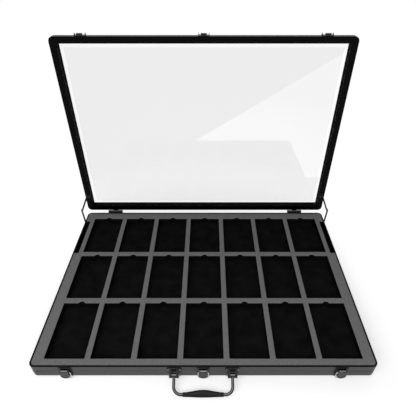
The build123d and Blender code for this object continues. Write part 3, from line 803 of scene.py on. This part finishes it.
class CARDCASE_OT_foam(bpy.types.Operator):
    """Make the slotted foam and the foam under it, with the slots' walls and floors painted
    near-black as painted shade
    """

    bl_idname = "card_case.foam"
    bl_label = "Foam"

    def execute(self, context):
        sizes = context.scene.card_case_sizes
        tray = merged_copy("foam_tray", "slotted_foam")
        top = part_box("foam_tray")[1].z
        self.split_walls(tray, top - sizes.shoulder_reach)
        self.round_top(tray, top, sizes.foam_edge)
        hand_over(tray, "foam_tray", finishes["foam_painted_shade"], finishes["foam_skin"])
        # Faces below the shoulders get the near-black painted shade, and the top keeps the grey
        # skin
        painted_shade_top = top - PAINTED_SHADE_BELOW_SHOULDERS * sizes.foam_edge
        for face in tray.data.polygons:
            face.material_index = 1 if face.center.z > painted_shade_top else 0

        # The underlay is a real layer of foam, and its near-black colour paints the shade on the
        # slots' floors
        underlay_painted_shade = merged_copy("foam_underlay", "black_underlay_foam")
        soften(underlay_painted_shade, sizes.foam_edge)
        hand_over(underlay_painted_shade, "foam_underlay", finishes["underlay_painted_shade"])
        return {"FINISHED"}

    def split_walls(self, tray, level):
        """Cut the walls below the shoulders, so that their smooth shading ends there."""
        only(tray)
        bpy.ops.object.mode_set(mode="EDIT")
        bpy.ops.mesh.select_all(action="SELECT")
        bpy.ops.mesh.bisect(plane_co=(0, 0, level), plane_no=(0, 0, 1))
        bpy.ops.object.mode_set(mode="OBJECT")

    def round_top(self, tray, top, width):
        """Round the shoulders between the top and the walls."""
        weights = tray.data.attributes.new("bevel_weight_edge", "FLOAT", "EDGE")
        points = tray.data.vertices
        near = TOP_TOLERANCE * width
        counts = {}
        for face in tray.data.polygons:
            if face.normal.z > MOSTLY and abs(face.center.z - top) < near:
                for key in face.edge_keys:
                    counts[key] = counts.get(key, 0) + 1
        for edge in tray.data.edges:
            shoulder = counts.get(tuple(sorted(edge.vertices)), 0) == 1
            level = all(abs(points[v].co.z - top) < near for v in edge.vertices)
            weights.data[edge.index].value = 1.0 if shoulder and level else 0.0
        bevel = tray.modifiers.new("soft_shoulders", "BEVEL")
        bevel.width = width
        bevel.segments = 3
        bevel.limit_method = "WEIGHT"
        apply_modifier(tray, bevel)
        bpy.ops.object.shade_smooth_by_angle(angle=SMOOTH_ANGLE)


class CARDCASE_OT_hinges(bpy.types.Operator):
    """Finish the hinges' leaves and pins"""

    bl_idname = "card_case.hinges"
    bl_label = "Hinges"

    def execute(self, context):
        edge = context.scene.card_case_sizes.hardware_edge
        for side in SIDES:
            finished_copy(f"hinge_base_leaf_{side}", "hardware", edge)
            finished_copy(f"hinge_lid_leaf_{side}", "hardware", edge)
            finished_copy(f"hinge_pin_{side}", "fastener", edge)
        return {"FINISHED"}


class CARDCASE_OT_stays(bpy.types.Operator):
    """Finish the folding stays, their brackets and elbows"""

    bl_idname = "card_case.stays"
    bl_label = "Folding stays"

    def execute(self, context):
        edge = context.scene.card_case_sizes.hardware_edge
        for side in SIDES:
            finished_copy(f"stay_lower_link_{side}", "stay", edge)
            finished_copy(f"stay_upper_link_{side}", "stay", edge)
            finished_copy(f"stay_elbow_rivet_{side}", "fastener", edge)
            finished_copy(f"stay_base_bracket_{side}", "hardware", edge)
            finished_copy(f"stay_lid_bracket_{side}", "hardware", edge)
        return {"FINISHED"}


class CARDCASE_OT_latches(bpy.types.Operator):
    """Finish the plates, strikes, levers and wire loops of the draw latches"""

    bl_idname = "card_case.latches"
    bl_label = "Draw latches"

    def execute(self, context):
        sizes = context.scene.card_case_sizes
        for place in PLACES:
            for node in LATCH_NODES:
                finished_copy(f"{node}_{place}", "hardware", sizes.hardware_edge)
            self.make_lever(f"latch_lever_{place}", sizes)
            loop = merged_copy(f"latch_loop_{place}", f"latch_loop_{place}_finished")
            bpy.ops.object.shade_smooth_by_angle(angle=WIRE_SMOOTH_ANGLE)
            hand_over(loop, f"latch_loop_{place}", finishes["wire"])
        finished_copy("latch_pins", "fastener", sizes.hardware_edge)
        return {"FINISHED"}

    def make_lever(self, node, sizes):
        """Press a shallow dish into a lever's front and round its edges."""
        lever = merged_copy(node, f"{node}_finished")
        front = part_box(node)[0].y

        def on_front(centre, normal):
            return normal.y < -SQUARELY and abs(centre.y - front) < FRONT_TOLERANCE

        edit_faces(lever, on_front)
        bpy.ops.mesh.inset(thickness=sizes.lever_rim, depth=0.0)
        bpy.ops.mesh.inset(thickness=sizes.lever_dish, depth=-sizes.lever_dish)
        bpy.ops.object.mode_set(mode="OBJECT")
        soften(lever, sizes.hardware_edge)
        hand_over(lever, node, finishes["lever"])


class CARDCASE_OT_handle(bpy.types.Operator):
    """Finish the handle's rod, grip, brackets and pins"""

    bl_idname = "card_case.handle"
    bl_label = "Carry handle"

    def execute(self, context):
        edge = context.scene.card_case_sizes.hardware_edge
        for side in SIDES:
            bracket = f"handle_bracket_{side}"
            finished_copy(bracket, "hardware", BRACKET_ROUNDING * edge, segments=3)
        finished_copy("handle_bail", "rod", edge)
        finished_copy("handle_pins", "fastener", edge)
        self.make_grip()
        return {"FINISHED"}

    def make_grip(self):
        """Round the moulded grip along its length and at its ends."""
        grip = merged_copy("handle_grip", "handle_grip_finished")
        only(grip)
        bpy.ops.object.mode_set(mode="EDIT")
        bpy.ops.mesh.select_all(action="SELECT")
        bpy.ops.mesh.tris_convert_to_quads()
        bpy.ops.object.mode_set(mode="OBJECT")
        bevel = grip.modifiers.new("rounded_ends", "BEVEL")
        bevel.width = GRIP_EDGE
        bevel.segments = 2
        bevel.limit_method = "ANGLE"
        bevel.angle_limit = GRIP_EDGE_ANGLE
        apply_modifier(grip, bevel)
        bpy.ops.object.shade_smooth_by_angle(angle=GRIP_SMOOTH_ANGLE)
        hand_over(grip, "handle_grip", finishes["rubber"])


class CARDCASE_OT_fasteners(bpy.types.Operator):
    """Model the screws with a cross recess and the domed rivets"""

    bl_idname = "card_case.fasteners"
    bl_label = "Fasteners"

    def execute(self, context):
        sides = context.scene.card_case_stage.screw_sides
        lid_front = LID_TURN @ CLOSED_FRONT
        lid_rear = LID_TURN @ CLOSED_REAR
        for node, outward, with_cross in (
            ("handle_bracket_screws", CLOSED_FRONT, True),
            ("hinge_base_screws", CLOSED_REAR, True),
            ("hinge_lid_screws", lid_rear, True),
            ("foot_screws", DOWN, True),
            ("latch_plate_rivets", CLOSED_FRONT, False),
            ("strike_rivets", lid_front, False),
        ):
            replace_heads(node, outward, with_cross, sides)
        return {"FINISHED"}


class CARDCASE_OT_underside(bpy.types.Operator):
    """Finish the bottom panel and the rubber feet"""

    bl_idname = "card_case.underside"
    bl_label = "Underside"

    def execute(self, context):
        edge = context.scene.card_case_sizes.frame_edge
        finished_copy("bottom_panel", "sheet", edge)
        finished_copy("rubber_feet", "rubber", edge)
        return {"FINISHED"}


def seen_rays(owner):
    """A value of 1 for rays that the camera, gloss or glass sends, else 0."""
    path = add_node(owner, "ShaderNodeLightPath")
    mirrored = add_node(
        owner,
        "ShaderNodeMath",
        links={0: path.outputs["Is Glossy Ray"], 1: path.outputs["Is Transmission Ray"]},
        operation="MAXIMUM",
    )
    return add_node(
        owner,
        "ShaderNodeMath",
        links={0: path.outputs["Is Camera Ray"], 1: mirrored.outputs["Value"]},
        operation="MAXIMUM",
    )


def mirrored_rays(owner):
    """A value of 1 for rays that the pane has mirrored, else 0."""
    path = add_node(owner, "ShaderNodeLightPath")
    return add_node(
        owner,
        "ShaderNodeMath",
        links={0: path.outputs["Is Singular Ray"], 1: path.outputs["Glossy Depth"]},
        operation="MULTIPLY",
        use_clamp=True,
    )


class CARDCASE_OT_stage(bpy.types.Operator):
    """Set up the white floor, the soft light and the camera"""

    bl_idname = "card_case.stage"
    bl_label = "Stage"

    def execute(self, context):
        stage = context.scene.card_case_stage
        context.scene.view_settings.view_transform = "Standard"
        self.make_floor(stage)
        self.make_world(context, stage)
        self.make_lamps(stage)
        self.make_camera(context, stage)
        return {"FINISHED"}

    def make_floor(self, stage):
        """A white floor that keeps a soft shadow close to the case."""
        bpy.ops.object.select_all(action="DESELECT")
        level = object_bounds()[0][2]
        bpy.ops.mesh.primitive_plane_add(size=2 * stage.floor_reach)
        floor = bpy.context.object
        floor.name = "white_floor"
        bpy.ops.object.mode_set(mode="EDIT")
        bpy.ops.mesh.select_all(action="SELECT")
        bpy.ops.transform.translate(value=(0, 0, level))
        bpy.ops.object.mode_set(mode="OBJECT")
        floor.data.materials.append(self.floor_material())
        floor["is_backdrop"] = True

    def floor_material(self):
        """Matt white paper that shows white, and by the case is partly lit, for a shadow."""
        material = bpy.data.materials.new("white_studio_paper")
        material.use_nodes = True
        material.node_tree.nodes.clear()
        seen = seen_rays(material)
        place = add_node(material, "ShaderNodeTexCoord")
        radius = add_node(
            material,
            "ShaderNodeVectorMath",
            values={1: SHADOW_CENTRE},
            links={0: place.outputs["Object"]},
            operation="DISTANCE",
        )
        near_to_far = {"From Min": NEAR_FLOOR, "From Max": FAR_FLOOR}
        share = add_node(
            material,
            "ShaderNodeMapRange",
            values={**near_to_far, "To Min": NEAR_SHARE, "To Max": 1.0},
            links={"Value": radius.outputs["Value"]},
        )
        strength = add_node(
            material,
            "ShaderNodeMapRange",
            values={**near_to_far, "To Min": NEAR_STRENGTH, "To Max": 1.0},
            links={"Value": radius.outputs["Value"]},
        )
        mirrored = mirrored_rays(material)
        card = self.mirrored_card(material, place, mirrored)
        seen_share = add_node(
            material,
            "ShaderNodeMath",
            links={0: seen.outputs["Value"], 1: share.outputs["Result"]},
            operation="MULTIPLY",
        )
        glow = add_node(
            material,
            "ShaderNodeMath",
            links={0: seen_share.outputs["Value"], 1: mirrored.outputs["Value"]},
            operation="MAXIMUM",
        )
        lit = add_node(
            material,
            "ShaderNodeMath",
            links={0: strength.outputs["Result"], 1: card.outputs["Result"]},
            operation="MULTIPLY",
        )
        paper = add_node(
            material, "ShaderNodeBsdfDiffuse", values={"Color": linear(PAPER_COLOUR)}
        )
        light = add_node(
            material, "ShaderNodeEmission", links={"Strength": lit.outputs["Value"]}
        )
        mix = add_node(
            material,
            "ShaderNodeMixShader",
            links={
                0: glow.outputs["Value"],
                1: paper.outputs["BSDF"],
                2: light.outputs["Emission"],
            },
        )
        add_node(
            material, "ShaderNodeOutputMaterial", links={"Surface": mix.outputs["Shader"]}
        )
        return material

    def mirrored_card(self, material, place, mirrored):
        """What the pane mirrors of the floor: white past a slanted edge in front, else dim."""
        along = CARD_EDGE_END - CARD_EDGE_START
        outward = Vector((-along.y, along.x, 0)).normalized()
        side = add_node(
            material,
            "ShaderNodeVectorMath",
            values={1: outward},
            links={0: place.outputs["Object"]},
            operation="DOT_PRODUCT",
        )
        right = add_node(
            material,
            "ShaderNodeMath",
            values={1: outward.dot(CARD_EDGE_START)},
            links={0: side.outputs["Value"]},
            operation="GREATER_THAN",
        )
        axes = add_node(
            material, "ShaderNodeSeparateXYZ", links={"Vector": place.outputs["Object"]}
        )
        front = add_node(
            material,
            "ShaderNodeMath",
            values={1: 0.0},
            links={0: axes.outputs["Y"]},
            operation="LESS_THAN",
        )
        white = add_node(
            material,
            "ShaderNodeMath",
            links={0: right.outputs["Value"], 1: front.outputs["Value"]},
            operation="MULTIPLY",
        )
        level = add_node(
            material,
            "ShaderNodeMapRange",
            values={"To Min": MIRRORED_DIM, "To Max": 1.0},
            links={"Value": white.outputs["Value"]},
        )
        return add_node(
            material,
            "ShaderNodeMapRange",
            values={"To Min": 1.0},
            links={"Value": mirrored.outputs["Value"], "To Max": level.outputs["Result"]},
        )

    def make_world(self, context, stage):
        """A world that looks white, lights the case less and is dim where the pane mirrors it."""
        world = bpy.data.worlds.new("studio_world")
        context.scene.world = world
        world.use_nodes = True
        world.node_tree.nodes.clear()
        strength = add_node(
            world,
            "ShaderNodeMapRange",
            values={"To Min": stage.ambient, "To Max": 1.0},
            links={"Value": seen_rays(world).outputs["Value"]},
        )
        dimmed = add_node(
            world,
            "ShaderNodeMapRange",
            values={"To Min": 1.0, "To Max": MIRRORED_DIM},
            links={"Value": mirrored_rays(world).outputs["Value"]},
        )
        even = add_node(
            world,
            "ShaderNodeMath",
            links={0: strength.outputs["Result"], 1: dimmed.outputs["Result"]},
            operation="MULTIPLY",
        )
        total = add_node(
            world,
            "ShaderNodeMath",
            links={
                0: even.outputs["Value"],
                1: self.soft_box(world).outputs["Value"],
            },
            operation="ADD",
        )
        background = add_node(
            world,
            "ShaderNodeBackground",
            values={"Color": WHITE},
            links={"Strength": total.outputs["Value"]},
        )
        add_node(
            world,
            "ShaderNodeOutputWorld",
            links={"Surface": background.outputs["Background"]},
        )

    def soft_box(self, world):
        """An overhead soft box, which gives highlights to metal and enamel, not to the pane."""
        place = add_node(world, "ShaderNodeTexCoord")
        facing = add_node(
            world,
            "ShaderNodeVectorMath",
            values={1: SOFT_BOX_TOWARDS},
            links={0: place.outputs["Generated"]},
            operation="DOT_PRODUCT",
        )
        patch = add_node(
            world,
            "ShaderNodeMapRange",
            values={
                "From Min": cos(SOFT_BOX_EDGE),
                "From Max": cos(SOFT_BOX_CORE),
                "To Max": SOFT_BOX_STRENGTH,
            },
            links={"Value": facing.outputs["Value"]},
        )
        path = add_node(world, "ShaderNodeLightPath")
        glossy = add_node(
            world,
            "ShaderNodeMath",
            links={0: path.outputs["Is Glossy Ray"], 1: path.outputs["Is Singular Ray"]},
            operation="SUBTRACT",
        )
        return add_node(
            world,
            "ShaderNodeMath",
            links={0: patch.outputs["Result"], 1: glossy.outputs["Value"]},
            operation="MULTIPLY",
        )

    def make_lamps(self, stage):
        """A large lamp over the front of the case and a weak one behind it."""
        for name, power, (place, aim, size) in (
            ("key_lamp", stage.key_power, KEY_LAMP),
            ("rim_lamp", stage.rim_power, RIM_LAMP),
        ):
            data = bpy.data.lights.new(name, "AREA")
            data.shape = "RECTANGLE"
            data.size = size[0]
            data.size_y = size[1]
            data.energy = power
            lamp = bpy.data.objects.new(name, data)
            lamp.visible_glossy = False
            lamp.visible_transmission = False
            lamp.location = place
            direction = Vector(aim) - Vector(place)
            lamp.rotation_euler = direction.to_track_quat("-Z", "Y").to_euler()
            bpy.context.scene.collection.objects.link(lamp)

    def make_camera(self, context, stage):
        """The photograph's viewpoint, with a lens that frames the case more closely."""
        data = bpy.data.cameras.new("photo_camera")
        data.sensor_width = SENSOR_WIDTH
        data.lens = stage.lens
        camera = bpy.data.objects.new("photo_camera", data)
        camera.location = CAMERA_PLACE
        camera.rotation_euler = (CAMERA_TILT, 0.0, 0.0)
        context.scene.collection.objects.link(camera)
        context.scene.camera = camera


class CARDCASE_PT_panel(bpy.types.Panel):
    bl_label = "Card display case"
    bl_idname = "CARDCASE_PT_panel"
    bl_space_type = "VIEW_3D"
    bl_region_type = "UI"
    bl_category = "Card case"

    def draw(self, context):
        for operator in operators:
            self.layout.operator(operator.bl_idname)
        for group in ("card_case_colours", "card_case_sizes", "card_case_stage"):
            values = getattr(context.scene, group)
            box = self.layout.box()
            for name in values.bl_rna.properties.keys():
                if name not in ("rna_type", "name"):
                    box.prop(values, name)


groups = (CardCaseColours, CardCaseSizes, CardCaseStage)
operators = (
    CARDCASE_OT_stage,
    CARDCASE_OT_base_frame,
    CARDCASE_OT_lid_frame,
    CARDCASE_OT_window,
    CARDCASE_OT_foam,
    CARDCASE_OT_hinges,
    CARDCASE_OT_stays,
    CARDCASE_OT_latches,
    CARDCASE_OT_handle,
    CARDCASE_OT_fasteners,
    CARDCASE_OT_underside,
)


def register():
    for item in (*groups, *operators, CARDCASE_PT_panel):
        bpy.utils.register_class(item)
    bpy.types.Scene.card_case_colours = PointerProperty(type=CardCaseColours)
    bpy.types.Scene.card_case_sizes = PointerProperty(type=CardCaseSizes)
    bpy.types.Scene.card_case_stage = PointerProperty(type=CardCaseStage)


def unregister():
    del bpy.types.Scene.card_case_stage
    del bpy.types.Scene.card_case_sizes
    del bpy.types.Scene.card_case_colours
    for item in reversed((*groups, *operators, CARDCASE_PT_panel)):
        bpy.utils.unregister_class(item)


def main():
    """Register the add-on, make its finishes and run its operators in order."""
    register()
    scene = bpy.context.scene
    finishes.update(make_finishes(scene.card_case_colours, scene.card_case_sizes))
    for operator in operators:
        group, name = operator.bl_idname.split(".")
        getattr(getattr(bpy.ops, group), name)()


if __name__ == "__main__":
    main()
